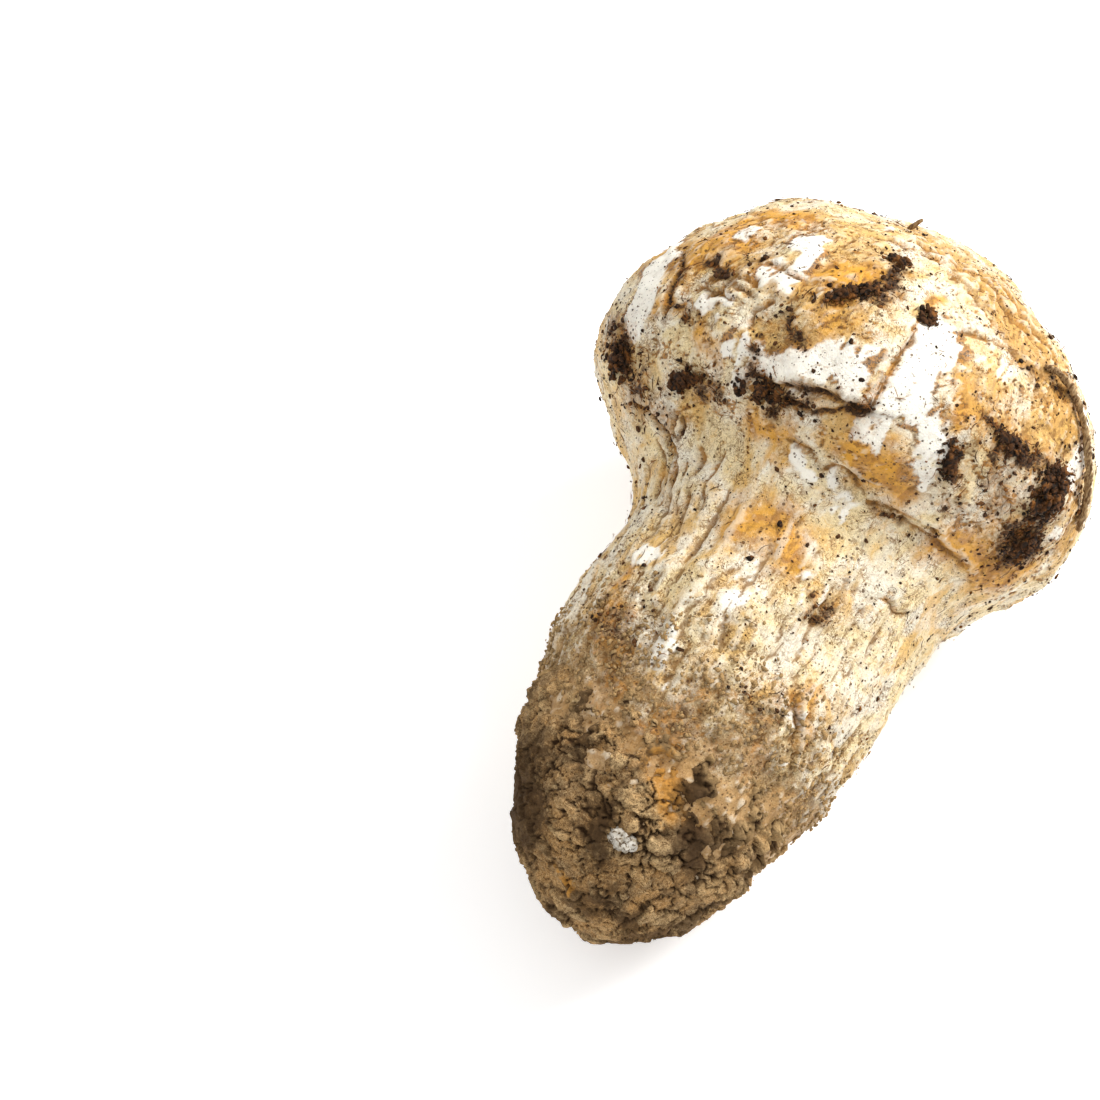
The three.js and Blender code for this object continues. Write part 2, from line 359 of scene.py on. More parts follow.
TAN = {
    "crown": (3.6, 1, [(98, 112), (98, 81), (95, 55)]),
    "upper right": (4.2, 1, [(95, 85), (91, 55), (87, 40)]),
    "right": (3.0, 0.9, [(90, 60), (85.5, 40), (83, 32)]),
    "rim right": (3.0, 0.8, [(76, 4), (84, 350), (92, 340)]),
    "far side": (6.0, 0.9, [(90, 230), (88, 280), (92, 330)]),
    "left": (1.6, 0.8, [(70, 163), (78, 160), (86, 152)]),
    "far crown": (8.0, 0.7, [(101, 210), (97, 285)]),
}
BROWN = {
    "left streak": (0.8, 1, [(77, 139), (77.5, 134), (78, 129), (79.5, 120)]),
    "left edge": (0.6, 0.9, [(76, 138), (71, 137)]),
    "low edge": (0.55, 1, [(70, 137), (70, 131), (71.5, 124)]),
    "middle": (1.0, 1, [(72, 111), (69.5, 110)]),
    "grey": (1.3, 0.8, [(74, 105), (72, 101)]),
    "left clod": (2.4, 0.75, [(67.5, 155), (63, 150)]),
    "left clod low": (1.6, 0.9, [(62.5, 152), (63, 147)]),
    "front": (1.3, 0.8, [(64.4, 129), (64, 121)]),
    "front join": (1.4, 0.9, [(66.3, 108), (65.3, 101), (65.8, 96)]),
    "fold's end": (1.1, 1, [(68.3, 85), (69.4, 80)]),
    "band": (1.2, 0.9, [(79.5, 99), (81.5, 93), (84, 90), (88, 93)]),
    "right arc": (1.3, 0.9, [(74.5, 51), (76.3, 44), (75.5, 37)]),
    "right": (2.8, 0.75, [(75.5, 30), (71.5, 24), (68.5, 19)]),
    "right low": (2.2, 0.8, [(68.5, 27), (66.5, 18)]),
    "streak": (1.0, 0.9, [(70.5, 57), (67, 55)]),
    "hook": (0.9, 0.9, [(66.5, 48), (64.5, 51)]),
    "right spot": (0.8, 1, [(75, 57), (75.3, 55.5)]),
    "margin": (0.7, 0.6, [(61, 66), (60.5, 58), (62, 45)]),
    "crack": (0.8, 0.8, [(49, 57), (45.5, 56)]),
    "crack low": (0.7, 0.7, [(47, 60), (43, 62)]),
    "crack top": (0.7, 0.7, [(52, 57), (49, 57)]),
    "stem left": (3.2, 0.6, [(32, 124), (26, 113)]),
    "stem low": (3.0, 0.5, [(27, 78), (22, 88)]),
    "stem right": (2.6, 0.45, [(32, 60), (27, 50)]),
    "right of the streak": (2.2, 0.45, [(72, 46), (69, 38)]),
    "crown right": (1.6, 0.45, [(88, 62), (84, 46)]),
    "left lobe": (2.2, 0.4, [(61, 148), (59, 140)]),
    "foot": (1.8, 0.5, [(15, 62), (12, 45)]),
    "far left": (3.0, 0.8, [(77, 203), (73, 210)]),
    "far right": (2.6, 0.8, [(82, 334), (78, 322)]),
    "far stem": (1.6, 0.6, [(44, 240), (38, 232)]),
    "bark": (1.2, 0.6, [(87.5, 43), (87, 33), (82.5, 23), (77, 11)]),
}
# Creases: (half width, depth, dirt, lip, route). The lip stands up on the route's left.
CREASES = {
    "fold": (0.55, 0.8, 1.0, 1.1, [(67.3, 101), (68, 91), (68.5, 84), (69, 80)]),
    "fold up": (0.5, 0.7, 0.6, 0.5, [(69.5, 79), (71.5, 80), (74.5, 80.5), (79, 79), (80.5, 80)]),
    "fold low": (0.5, 0.6, 0.9, 0.7, [(66, 99), (65.5, 92), (67, 87), (68.5, 83)]),
    "margin left": (0.45, 0.4, 0.5, 0.5, [(62, 96), (62.5, 89), (61.5, 84), (62.5, 74)]),
    "margin": (0.45, 0.45, 0.6, 0.6, [(62.5, 74), (61, 66), (62, 56), (63, 45)]),
    "ring": (0.35, 0.5, 0.9, 0.3, [
        (60.7, 135), (60.3, 137), (59.5, 137.8), (58.7, 137), (58.3, 135), (58.7, 133), (59.5, 132.2),
        (60.3, 133), (60.7, 135)]),
    "flap": (0.45, 0.5, 0.7, 1.3, [(35.5, 51), (33, 46), (31.5, 42), (30, 38)]),
    "neck 5": (0.45, 0.5, 0.5, 0.3, [(60, 145), (57, 140), (54, 139), (50, 139)]),
    "neck 6": (0.4, 0.45, 0.5, 0.3, [(55.5, 130), (52, 129.5), (48, 127)]),
    "neck 7": (0.4, 0.4, 0.4, 0.3, [(58, 118), (54, 119), (49, 115)]),
    "left fold": (0.6, 0.7, 0.8, 0.6, [(61, 153), (58.5, 141), (56.5, 136)]),
    "neck 1": (0.5, 0.6, 0.6, 0.3, [(56, 137), (53.5, 135), (49, 133)]),
    "neck 2": (0.5, 0.5, 0.45, 0.3, [(57.5, 126), (53, 126), (47, 120)]),
    "neck 3": (0.5, 0.5, 0.45, 0.3, [(57.5, 147), (54.5, 142), (51, 144)]),
    "neck 4": (0.5, 0.4, 0.3, 0.3, [(55, 155), (50, 151), (45, 152)]),
    "swirl 1": (0.4, 0.45, 0.7, 0.4, [(73.5, 128), (76, 125), (75.5, 117)]),
    "swirl 2": (0.4, 0.4, 0.6, 0.3, [(74.5, 132), (77, 128), (77, 117)]),
    "swirl 3": (0.4, 0.4, 0.6, 0.3, [(72, 115), (73.5, 116), (75.5, 112)]),
    "swirl 4": (0.4, 0.4, 0.5, 0.3, [(75, 130), (74.2, 124), (74.4, 119)]),
    "shoulder": (0.5, 0.5, 0.8, -0.5, [(79.5, 146), (77, 140), (73.5, 139), (70.5, 138)]),
    "crack": (0.4, 0.15, 0.8, 0.3, [(52.5, 57), (49, 56), (47.5, 56.5), (44.5, 58)]),
    "crack right": (0.35, 0.15, 0.6, 0.3, [(52.5, 42), (52.5, 35), (53.5, 29)]),
    "crown line 1": (0.4, 0.4, 0.6, 0.5, [(91.5, 101), (92, 87), (90, 71)]),
    "crown line 2": (0.4, 0.4, 0.6, 0.5, [(93, 92), (93.5, 71), (91, 50)]),
    "crown line 3": (0.4, 0.35, 0.5, 0.4, [(84, 71), (86, 60), (86, 50)]),
    "crown line 4": (0.4, 0.4, 0.6, 0.5, [(94, 62), (92, 45), (88.5, 38)]),
    "top line": (0.4, 0.4, 0.7, 0.4, [(80, 118), (79.5, 109), (81, 100)]),
    "veil right": (0.5, 0.6, 0.5, 0.7, [(61.5, 54), (62, 41), (62.5, 26)]),
    "far fold": (0.6, 0.8, 0.9, 0.9, [(70, 212), (71, 228), (68, 246), (70, 262)]),
    "far fold 2": (0.5, 0.6, 0.7, 0.7, [(80, 300), (76, 315), (72, 322)]),
    "far margin": (0.5, 0.6, 0.7, 0.8, [(62, 190), (61, 214), (62.5, 240), (62, 268), (63, 300), (62, 330)]),
    "far line": (0.4, 0.4, 0.6, 0.5, [(95, 180), (88, 196), (82, 200)]),
    "far line 2": (0.4, 0.4, 0.6, 0.5, [(98, 290), (90, 275), (84, 280)]),
    "far neck": (0.5, 0.5, 0.5, 0.3, [(56, 228), (50, 232), (44, 226)]),
    "far neck 2": (0.5, 0.5, 0.5, 0.3, [(57, 318), (50, 322), (45, 315)]),
}


# ---- Flesh ----
def grain_space():
    """Skin points drawn out along the fibres, which run from the crown to the foot."""
    turn = np.stack([np.cos(AROUND), np.sin(AROUND)], axis=1) * 20
    return np.column_stack([turn + 0.5 * WARP[:, :2], AT / 9])


def crease_relief():
    """Height of the creases and their lips, and the dirt in them."""
    height, dirt = np.zeros(len(SKIN)), np.zeros(len(SKIN))
    near = SKIN + 0.45 * WARP
    for wide, depth, dark, lip, route in CREASES.values():
        d, side = distance(route, near)
        height -= depth * np.exp(-((d / wide) ** 2))
        fade = np.exp(-d / 2.4) * step(0, 1.2 * wide, d)
        height += np.abs(lip) * fade * (side * np.sign(lip) > 0)
        dirt = np.maximum(dirt, dark * np.exp(-((d / (1.1 * wide)) ** 2)))
    return height, dirt


def flesh():
    """Cap, veil and stem: one skin with its folds, wrinkles, torn cuticle and marks."""
    grain = grain_space()
    on_cap = step(58, 66, AT + 2 * WARP[:, 0])
    on_stem = 1 - step(50, 58, AT)
    low_stem = 1 - step(20, 42, AT + 4 * WARP[:, 1])
    feather = layered(grain, 1.1, 27, 3, 0.6) + 0.6 * WARP[:, 1]
    # White flesh, and painted highlights on the stem.
    white = step(0.3, 0.75, stains(WHITE, 1.15) + 0.3 * feather)
    ochre = stains(OCHRE)
    tan = stains(TAN, 1.1)
    brown = np.maximum(marks(BROWN, 0.6), 0.5 * stains(BROWN, 1.9))
    folds, dirt = crease_relief()

    # Torn layers of cuticle end in curling ledges, with dirt along their feet.
    swirl = layered(SKIN * [1, 1.4, 1] + 2.4 * WARP, 5.5, 21, 3, 0.5)
    swirl2 = layered(SKIN * [1, 1.4, 1] + 1.6 * WARP, 2.8, 23, 3, 0.5)
    torn = step(-0.2, 0.35, layered(SKIN, 8, 25, 2))
    ledges = step(-0.03, 0.05, swirl) + 0.6 * step(-0.04, 0.06, swirl2) * torn
    tears = np.exp(-(((swirl + 0.03) / 0.045) ** 2)) * (0.35 + 0.65 * torn)
    tears = np.maximum(tears, 0.8 * np.exp(-(((swirl2 + 0.04) / 0.06) ** 2)) * torn)
    streaks = layered(grain, 1.6, 31, 3, 0.6)
    wrinkles = layered(grain * [1, 1, 1.6], 3.2, 37, 2, 0.5)
    pits = layered(SKIN, 1.3, 41, 2, 0.6)
    lumps = layered(SKIN, 9, 45, 2, 0.5)
    _, gap, number = cells(SKIN + 1.2 * WARP, 1.7, 51, (1, 1.7, 1))
    scurf = (number - 0.5) * step(0.02, 0.22, gap)

    rough = 1 - 0.6 * white
    rim = np.clip(4 * white * (1 - white), 0, 1) * step(-0.25, 0.25, layered(SKIN, 4, 29, 3))
    tears = np.maximum(tears * (1 - 0.6 * white), 0.75 * rim)
    height = 0.55 * lumps + 0.05 * pits * rough
    height += on_cap * (0.22 * rough * ledges + 0.1 * streaks)
    height += 0.3 * tan * streaks
    bare = step(EARTH_TOP - 6, EARTH_TOP + 6, AT)
    height += bare * on_stem * (0.5 * wrinkles + 0.34 * streaks + 0.1 * ledges)
    height += low_stem * (0.3 * scurf + 0.16 * pits)
    height += (1 - on_cap) * (1 - on_stem) * (0.22 * wrinkles + 0.08 * streaks)
    height += folds + 0.25 * white - 0.2 * dirt
    height += brown * 0.22 * pits
    # How far each point lies below its neighbours: it drives painted shade in the hollows and a painted
    # highlight on the ridges.
    relief_shading = np.clip((smoothed(height, SKIN_PAIRS, 10) - height) / 0.22, -1, 1)

    points = SKIN + OUT * height[:, None]
    mesh = SKIN_MESH.copy()
    set_points(mesh, above_floor(to_row(points)))
    for name, values in {
        "white": white, "ochre": ochre, "tan": tan, "brown": np.maximum(brown, dirt),
        "stem": on_stem, "dust": low_stem, "relief_shading": relief_shading,
        "tear": tears * (0.25 + 0.75 * on_cap),
    }.items():
        set_floats(mesh, name, values)
    set_vectors(mesh, "grain", grain)
    return mesh, points


# ---- Materials ----
class Shader:
    """A principled material, built node by node."""

    def __init__(self, name, roughness, specular=0.3):
        self.material = bpy.data.materials.new(name)
        self.material.use_nodes = True
        self.tree = self.material.node_tree
        self.surface = self.tree.nodes["Principled BSDF"]
        self.surface.inputs["Roughness"].default_value = roughness
        self.surface.inputs["Specular IOR Level"].default_value = specular
        coordinates = self.tree.nodes.new("ShaderNodeTexCoord").outputs["Object"]
        self.place = self.vector("SCALE", coordinates, scale=1 / MM)

    def link(self, socket, value):
        if isinstance(value, bpy.types.NodeSocket):
            self.tree.links.new(value, socket)
        elif isinstance(value, tuple) and len(value) == 3 and socket.type == "RGBA":
            socket.default_value = (*value, 1)
        else:
            socket.default_value = value

    def vector(self, operation, a, b=None, scale=None):
        node = self.tree.nodes.new("ShaderNodeVectorMath")
        node.operation = operation
        self.link(node.inputs[0], a)
        if b is not None:
            self.link(node.inputs[1], b)
        if scale is not None:
            node.inputs["Scale"].default_value = scale
        return node.outputs[0]

    def maths(self, operation, a, b=0.0, clamp=False):
        node = self.tree.nodes.new("ShaderNodeMath")
        node.operation = operation
        node.use_clamp = clamp
        self.link(node.inputs[0], a)
        self.link(node.inputs[1], b)
        return node.outputs[0]

    def attribute(self, name, output="Fac"):
        node = self.tree.nodes.new("ShaderNodeAttribute")
        node.attribute_name = name
        return node.outputs[output]

    def noise(self, scale, detail=3.0, distortion=0.0, at=None, roughness=0.55):
        """Noise with scale features to the millimetre."""
        node = self.tree.nodes.new("ShaderNodeTexNoise")
        self.link(node.inputs["Vector"], at or self.place)
        node.inputs["Scale"].default_value = scale
        node.inputs["Detail"].default_value = detail
        node.inputs["Roughness"].default_value = roughness
        node.inputs["Distortion"].default_value = distortion
        return node.outputs["Fac"]

    def grains(self, scale, output="Distance", feature="F1", at=None):
        node = self.tree.nodes.new("ShaderNodeTexVoronoi")
        node.feature = feature
        self.link(node.inputs["Vector"], at or self.place)
        node.inputs["Scale"].default_value = scale
        return node.outputs[output]

    def ramp(self, value, low, high, to_low=0.0, to_high=1.0):
        node = self.tree.nodes.new("ShaderNodeMapRange")
        node.interpolation_type = "SMOOTHSTEP"
        self.link(node.inputs["Value"], value)
        for name, v in zip(("From Min", "From Max", "To Min", "To Max"), (low, high, to_low, to_high)):
            node.inputs[name].default_value = v
        return node.outputs[0]

    def mix(self, share, a, b, blend="MIX"):
        node = self.tree.nodes.new("ShaderNodeMix")
        node.data_type = "RGBA"
        node.blend_type = blend
        self.link(node.inputs["Factor"], share)
        self.link(node.inputs["A"], a)
        self.link(node.inputs["B"], b)
        return node.outputs["Result"]

    def thin(self, value, width):
        """1 where noise passes its middle value: thin curling lines."""
        away = self.maths("ABSOLUTE", self.maths("SUBTRACT", value, 0.5))
        return self.ramp(away, 0, width, 1, 0)

    def ragged(self):
        """Noise about zero that breaks up edges."""
        return self.maths("SUBTRACT", self.noise(1.1, 5, 1.2, roughness=0.65), 0.5)

    def bump(self, height, depth):
        """Bump depth is in millimetres."""
        node = self.tree.nodes.new("ShaderNodeBump")
        node.inputs["Strength"].default_value = 1
        node.inputs["Distance"].default_value = depth * MM
        self.link(node.inputs["Height"], height)
        self.link(self.surface.inputs["Normal"], node.outputs["Normal"])

    def finish(self, color):
        self.link(self.surface.inputs["Base Color"], color)
        return self.material


def srgb(red, green, blue):
    """A colour given as 0 to 255, as the shader's linear light."""
    return tuple(((c / 255 + 0.055) / 1.055) ** 2.4 for c in (red, green, blue))


CREAM = srgb(241, 220, 172)
PALE = srgb(245, 237, 216)
GOLD = srgb(226, 178, 92)
# White of bare flesh, also used for the painted highlights on the stem:
FLESH_AND_HIGHLIGHT_WHITE = srgb(248, 243, 230)
YELLOW = srgb(220, 158, 50)
ORANGE = srgb(178, 120, 44)
SIENNA = srgb(128, 90, 42)
TAN_SKIN = srgb(198, 150, 78)
UMBER = srgb(88, 60, 32)
DARK = srgb(44, 30, 20)
DUST = srgb(188, 156, 108)
DUST_PALE = srgb(222, 198, 154)
DUST_GREY = srgb(144, 124, 94)
SAND = srgb(190, 146, 92)
SAND_GREY = srgb(156, 126, 88)
SAND_DARK = srgb(112, 80, 46)
SAND_PALE = srgb(216, 184, 134)
EARTH_CRACK = srgb(92, 68, 42)
EARTH_DAMP = srgb(104, 78, 50)
EARTH_SHADE = srgb(86, 64, 40)
EARTH_RUST = srgb(206, 146, 66)
# Dark stains on the earth, and painted shade on the slab at the foot's left:
EARTH_STAIN_AND_SHADE = srgb(74, 54, 34)
# Painted shade for the gaps between the earth's flakes and grains:
EARTH_GAP_SHADE = srgb(66, 46, 28)
MOULD_BLACK = srgb(34, 24, 16)
MOULD_BROWN = srgb(88, 56, 30)
MOULD_RUST = srgb(132, 84, 38)
BARK_DARK = srgb(104, 76, 48)
BARK_PALE = srgb(188, 158, 116)
STONE_DARK = srgb(150, 138, 118)
STONE_PALE = srgb(206, 200, 188)
STONE_PIT = srgb(88, 70, 48)
HAIR_DARK = srgb(60, 38, 22)
HAIR_PALE = srgb(134, 88, 44)


def flesh_material():
    s = Shader("matsutake_flesh", 0.6, 0.25)
    fibre = s.attribute("grain", "Vector")
    streak = s.noise(1.5, 4, 0.5, fibre, 0.65)
    fine_streak = s.noise(3.4, 3, 0.7, fibre, 0.7)
    blotch = s.noise(0.16, 4, 0.8)
    mottle = s.noise(0.55, 4, 1.4, roughness=0.6)
    grit = s.noise(2.6, 3, 1.0, roughness=0.7)
    ragged = s.ragged()
    relief_shading = s.attribute("relief_shading")

    def mask(name, low=0.35, high=0.65, rough=0.9):
        """An attribute with its edge broken up by fine noise."""
        edge = s.maths("ADD", s.attribute(name), s.maths("MULTIPLY", ragged, rough))
        return s.ramp(edge, low, high)

    def over(share, color, strength=1.0):
        """Lays a colour over what is there."""
        nonlocal paint
        paint = s.mix(s.maths("MULTIPLY", share, strength), paint, color)

    paint = s.mix(s.ramp(blotch, 0.38, 0.62), CREAM, PALE)
    over(s.ramp(s.noise(0.09, 4, 1.4, roughness=0.6), 0.48, 0.62), GOLD, 0.75)
    over(s.ramp(mottle, 0.54, 0.7), GOLD, 0.5)
    over(s.ramp(streak, 0.52, 0.72), TAN_SKIN, 0.4)
    # Curling lines of torn cuticle, thicker in some places than others.
    lined = s.ramp(s.noise(0.3, 2, 0.5), 0.42, 0.6, 0.25, 1.0)
    over(s.maths("MULTIPLY", s.thin(s.noise(0.42, 4, 1.6), 0.035), lined), SIENNA, 0.85)
    over(s.maths("MULTIPLY", s.thin(s.noise(0.9, 3, 2.2), 0.045), lined), SIENNA, 0.75)
    over(s.thin(s.noise(1.9, 2, 1.8), 0.05), SIENNA, 0.35)
    stain = s.mix(s.ramp(s.noise(0.5, 4, 0.8), 0.42, 0.62), YELLOW, ORANGE)
    over(mask("ochre", 0.08, 0.8, 0.5), stain, 0.92)
    tan_color = s.mix(s.ramp(fine_streak, 0.38, 0.62), GOLD, SIENNA)
    over(mask("tan", 0.1, 0.75, 0.7), s.mix(s.ramp(streak, 0.4, 0.65), TAN_SKIN, tan_color), 0.9)
    # Dust on the stem.
    dust = s.ramp(s.maths("ADD", s.attribute("dust"), s.maths("MULTIPLY", ragged, 1.3)), 0.15, 0.95)
    dust_color = s.mix(s.ramp(s.noise(0.2, 3, 0.8), 0.45, 0.6), DUST, DUST_GREY)
    dust_color = s.mix(s.ramp(grit, 0.48, 0.66), dust_color, DUST_PALE)
    dust_color = s.mix(s.thin(s.noise(1.3, 3, 2.4), 0.06), dust_color, SAND_DARK)
    smudge = s.ramp(s.noise(0.14, 4, 1.2, roughness=0.6), 0.5, 0.62)
    dust_color = s.mix(s.maths("MULTIPLY", smudge, 0.7), dust_color, SAND_DARK)
    dust_color = s.mix(s.ramp(s.attribute("dust"), 0.7, 1.0, 0, 0.7), dust_color, SAND)
    over(dust, dust_color, 0.88)
    over(s.maths("MULTIPLY", s.ramp(fine_streak, 0.52, 0.7), s.attribute("stem")), SIENNA, 0.4)
    # White flesh, and painted highlights on the stem.
    over(mask("white", 0.15, 0.85, 0.6), FLESH_AND_HIGHLIGHT_WHITE, 0.94)
    # Dirt along the feet of the torn ledges; then painted shade darkens the hollows of the relief and a
    # painted highlight pales its ridges.
    over(mask("tear", 0.1, 0.6, 0.9), s.mix(s.ramp(grit, 0.42, 0.6), ORANGE, UMBER), 0.9)
    # Painted highlight: the ridges of the relief are made paler.
    over(s.ramp(relief_shading, -0.2, -0.9), PALE, 0.4)
    # Painted shade: the hollows of the relief are made darker.
    over(s.ramp(s.maths("ADD", relief_shading, ragged), 0.3, 1.0), SIENNA, 0.8)
    over(mask("brown", 0.02, 0.6, 0.9), s.mix(s.ramp(mottle, 0.45, 0.6), SIENNA, ORANGE), 0.75)
    over(mask("brown", 0.5, 0.85, 1.6), s.mix(s.ramp(grit, 0.4, 0.6), UMBER, DARK))
    # Freckles too small to model.
    for scale, few in ((0.8, 0.5), (1.3, 0.42), (2.0, 0.5)):
        chosen = s.ramp(s.grains(scale, "Color"), few, few + 0.01)
        freckle = s.maths("MULTIPLY", s.ramp(s.grains(scale), 0.13, 0.2, 1, 0), chosen)
        over(freckle, UMBER, 0.85)
    height = s.maths("ADD", s.maths("MULTIPLY", fine_streak, 0.6), s.noise(2.2, 4, 1.2, roughness=0.6))
    s.bump(height, 0.18)
    surface = s.surface.inputs
    surface["Subsurface Weight"].default_value = 0.06
    surface["Subsurface Radius"].default_value = (0.8, 0.62, 0.35)
    surface["Subsurface Scale"].default_value = 0.7 * MM
    return s.finish(paint)


def earth_material():
    s = Shader("caked_earth", 0.95, 0.12)
    grit = s.noise(2.6, 4, 1.0, roughness=0.7)
    paint = s.mix(s.ramp(s.noise(0.22, 4, 0.8), 0.4, 0.62), SAND, SAND_GREY)
    paint = s.mix(s.ramp(s.attribute("tone"), 0.0, 1.0), paint, SAND_PALE)
    paint = s.mix(s.ramp(grit, 0.5, 0.68, 0, 0.7), paint, SAND_PALE)
    paint = s.mix(s.ramp(grit, 0.46, 0.3, 0, 0.8), paint, SAND_DARK)
    paint = s.mix(s.thin(s.noise(1.2, 3, 2.2), 0.05), paint, EARTH_CRACK)
    paint = s.mix(s.ramp(s.noise(0.35, 3, 0.6), 0.62, 0.72, 0, 0.8), paint, EARTH_DAMP)
    paint = s.mix(s.ramp(s.noise(0.12, 4, 1.0, roughness=0.6), 0.48, 0.6, 0, 0.75), paint, EARTH_SHADE)
    paint = s.mix(s.ramp(s.attribute("fade"), 1.0, 0.0, 0, 0.6), paint, DUST)
    ragged = s.ragged()
    ochre = s.maths("ADD", s.attribute("ochre"), ragged)
    paint = s.mix(s.ramp(ochre, 0.15, 0.8, 0, 0.85), paint, EARTH_RUST)
    # Dark stains, and painted shade on the slab at the foot's left.
    dark = s.maths("ADD", s.attribute("dark"), ragged)
    paint = s.mix(s.ramp(dark, 0.25, 0.85, 0, 0.85), paint, EARTH_STAIN_AND_SHADE)
    # Painted shade in the gaps between flakes and grains.
    paint = s.mix(s.ramp(s.attribute("gap_shade"), 0.2, 1.0), paint, EARTH_GAP_SHADE)
    s.bump(s.noise(2.8, 4, 0.8, roughness=0.7), 0.35)
    return s.finish(paint)


def mould_material():
    s = Shader("leaf_mould", 0.85, 0.2)
    crumb = s.noise(1.4, 3, 0.6)
    color = s.mix(s.ramp(crumb, 0.4, 0.62), MOULD_BLACK, MOULD_BROWN)
    color = s.mix(s.ramp(s.noise(0.6, 2, 0.4), 0.52, 0.68), color, MOULD_RUST)
    s.bump(s.noise(3.0, 4, 0.6, roughness=0.7), 0.3)
    return s.finish(color)


def bark_material():
    s = Shader("bark", 0.8, 0.2)
    fibre = s.vector("MULTIPLY", s.place, (2.2, 0.5, 0.7))
    streak = s.noise(1.5, 4, 0.4, fibre, 0.65)
    color = s.mix(s.ramp(streak, 0.35, 0.65), BARK_DARK, BARK_PALE)
    s.bump(streak, 0.3)
    return s.finish(color)


def pebble_material():
    s = Shader("pale_stone", 0.75, 0.25)
    color = s.mix(s.ramp(s.noise(1.2, 4, 0.5), 0.35, 0.65), STONE_DARK, STONE_PALE)
    color = s.mix(s.ramp(s.noise(1.5, 3, 1.0), 0.54, 0.62), color, STONE_PIT)
    s.bump(s.noise(2.0, 4, 0.5, roughness=0.7), 0.3)
    return s.finish(color)


def hair_material():
    s = Shader("hair_roots", 0.8, 0.2)
    return s.finish(s.mix(s.ramp(s.noise(0.7, 2, 0.4), 0.4, 0.6), HAIR_DARK, HAIR_PALE))


# ---- Earth on the foot ----
EARTH_THICK = 1.2
EARTH_FADE = 11.0  # the earth thins out over this length
# The slab on the foot's left is a raised lump, and it is painted dark as painted shade.
SLAB = {"at": 10, "around": 150, "reach": 9.5, "thick": 1.1}
# Stains on the earth: (half width in mm, strength, route).
EARTH_DARK = {
    "right": (2.6, 0.9, [(19, 64), (13, 46)]),
    "left": (3.0, 0.8, [(24, 120), (17, 112)]),
    "round the pebble": (2.0, 0.9, [(13, 90), (9, 92), (7, 82)]),
    "tip": (1.6, 0.7, [(4, 70), (3, 40)]),
    "far": (4.0, 0.8, [(14, 230), (10, 290)]),
}
EARTH_OCHRE = {
    "front": (1.9, 0.9, [(19, 78), (16, 66)]),
    "tip": (0.8, 0.9, [(3.6, 100), (3.2, 96)]),
    "far": (2.2, 0.7, [(18, 300), (14, 320)]),
}


def earth():
    """The caked earth: the skin's foot end, lifted in grains and flakes, closed inside the stem."""
    edge = EARTH_TOP + 2.5 * np.cos(AROUND - math.pi) + 3.0 * WARP[:, 0]
    keep = AT < edge + 2
    rows = points_of(SKIN_MESH)
    kept = [list(p.vertices) for p in SKIN_MESH.polygons if keep[list(p.vertices)].all()]
    used = np.unique(np.concatenate(kept))
    index = np.full(len(SKIN), -1)
    index[used] = np.arange(len(used))
    shell = bpy.data.meshes.new("shell")
    shell.from_pydata(rows[used], [], [index[f].tolist() for f in kept])
    set_floats(shell, "left", (edge - AT)[used])
    obj = bpy.data.objects.new("work", shell)
    bpy.context.scene.collection.objects.link(obj)
    obj.modifiers.new("fine", "SUBSURF").levels = 1
    fine = applied(obj)
    left = np.empty(len(fine.vertices))
    fine.attributes["left"].data.foreach_get("value", left)
    fine.attributes.remove(fine.attributes["left"])
    body = to_body(points_of(fine))
    out = normals_of(fine) @ AXES.T
    jitter = np.stack([layered(body, 1.6, s, 2) for s in (61, 62, 63)], axis=1)
    moved = body + 0.6 * jitter
    _, gap, number = cells(moved, 2.3, 65, (1.3, 1, 1))
    near2, gap2, number2 = cells(moved, 0.85, 67, (1.2, 1, 1))
    flakes = number * step(0.0, 0.1, gap) - 0.6 * (1 - step(0.0, 0.06, gap))
    grainy = step(-0.5, 0.5, layered(body, 6, 75, 2))
    grains = (0.4 + 0.6 * number2) * step(0.75, 0.2, near2) * (0.35 + 0.65 * grainy)
    slab = SKIN[vertex_at(SLAB["at"], SLAB["around"])]
    on_slab = np.exp(-((np.linalg.norm(body - slab, axis=1) / SLAB["reach"]) ** 2))
    lump = SLAB["thick"] * on_slab
    patchy = 0.5 * layered(body, 3.2, 73, 3, 0.6)
    cover = step(0, 1, left / EARTH_FADE + patchy * step(EARTH_FADE * 1.6, EARTH_FADE * 0.4, left) - 0.1)
    cover *= step(0, 2, left)
    thick = cover * (EARTH_THICK + lump + 0.5 * layered(body, 5, 71, 2)) - 0.9 * (1 - cover)
    height = thick + cover * (0.75 * flakes + 0.45 * grains - 0.5)
    # Painted shade: the gaps between flakes and grains, where the earth dips, are marked for darkening.
    gap_shade = step(0.1, 0.0, gap) * 0.9 + step(0.07, 0.0, gap2) * 0.5
    set_points(fine, above_floor(to_row(body + out * height[:, None])))
    set_floats(fine, "gap_shade", gap_shade)
    set_floats(fine, "tone", 0.5 * number + 0.35 * number2 - 0.15)
    set_floats(fine, "fade", step(0, EARTH_FADE, left))
    stained = body + 1.6 * np.stack([patchy, -patchy, jitter[:, 0]], axis=1)
    # Painted shade: the slab on the foot's left is painted dark, along with the dark stains.
    slab_shade = on_slab * step(0.1, 0.6, on_slab + 0.4 * patchy)
    set_floats(fine, "dark", np.maximum(slab_shade, stains(EARTH_DARK, 1.2, stained)))
    set_floats(fine, "ochre", stains(EARTH_OCHRE, 1.2, stained))
    return closed(fine)


def closed(mesh):
    """The mesh with its open edge filled."""
    bm = bmesh.new()
    bm.from_mesh(mesh)
    rim = [e for e in bm.edges if e.is_boundary]
    bmesh.ops.holes_fill(bm, edges=rim, sides=0)
    bmesh.ops.triangulate(bm, faces=[f for f in bm.faces if len(f.verts) > 4])
    bm.to_mesh(mesh)
    bm.free()
    return mesh


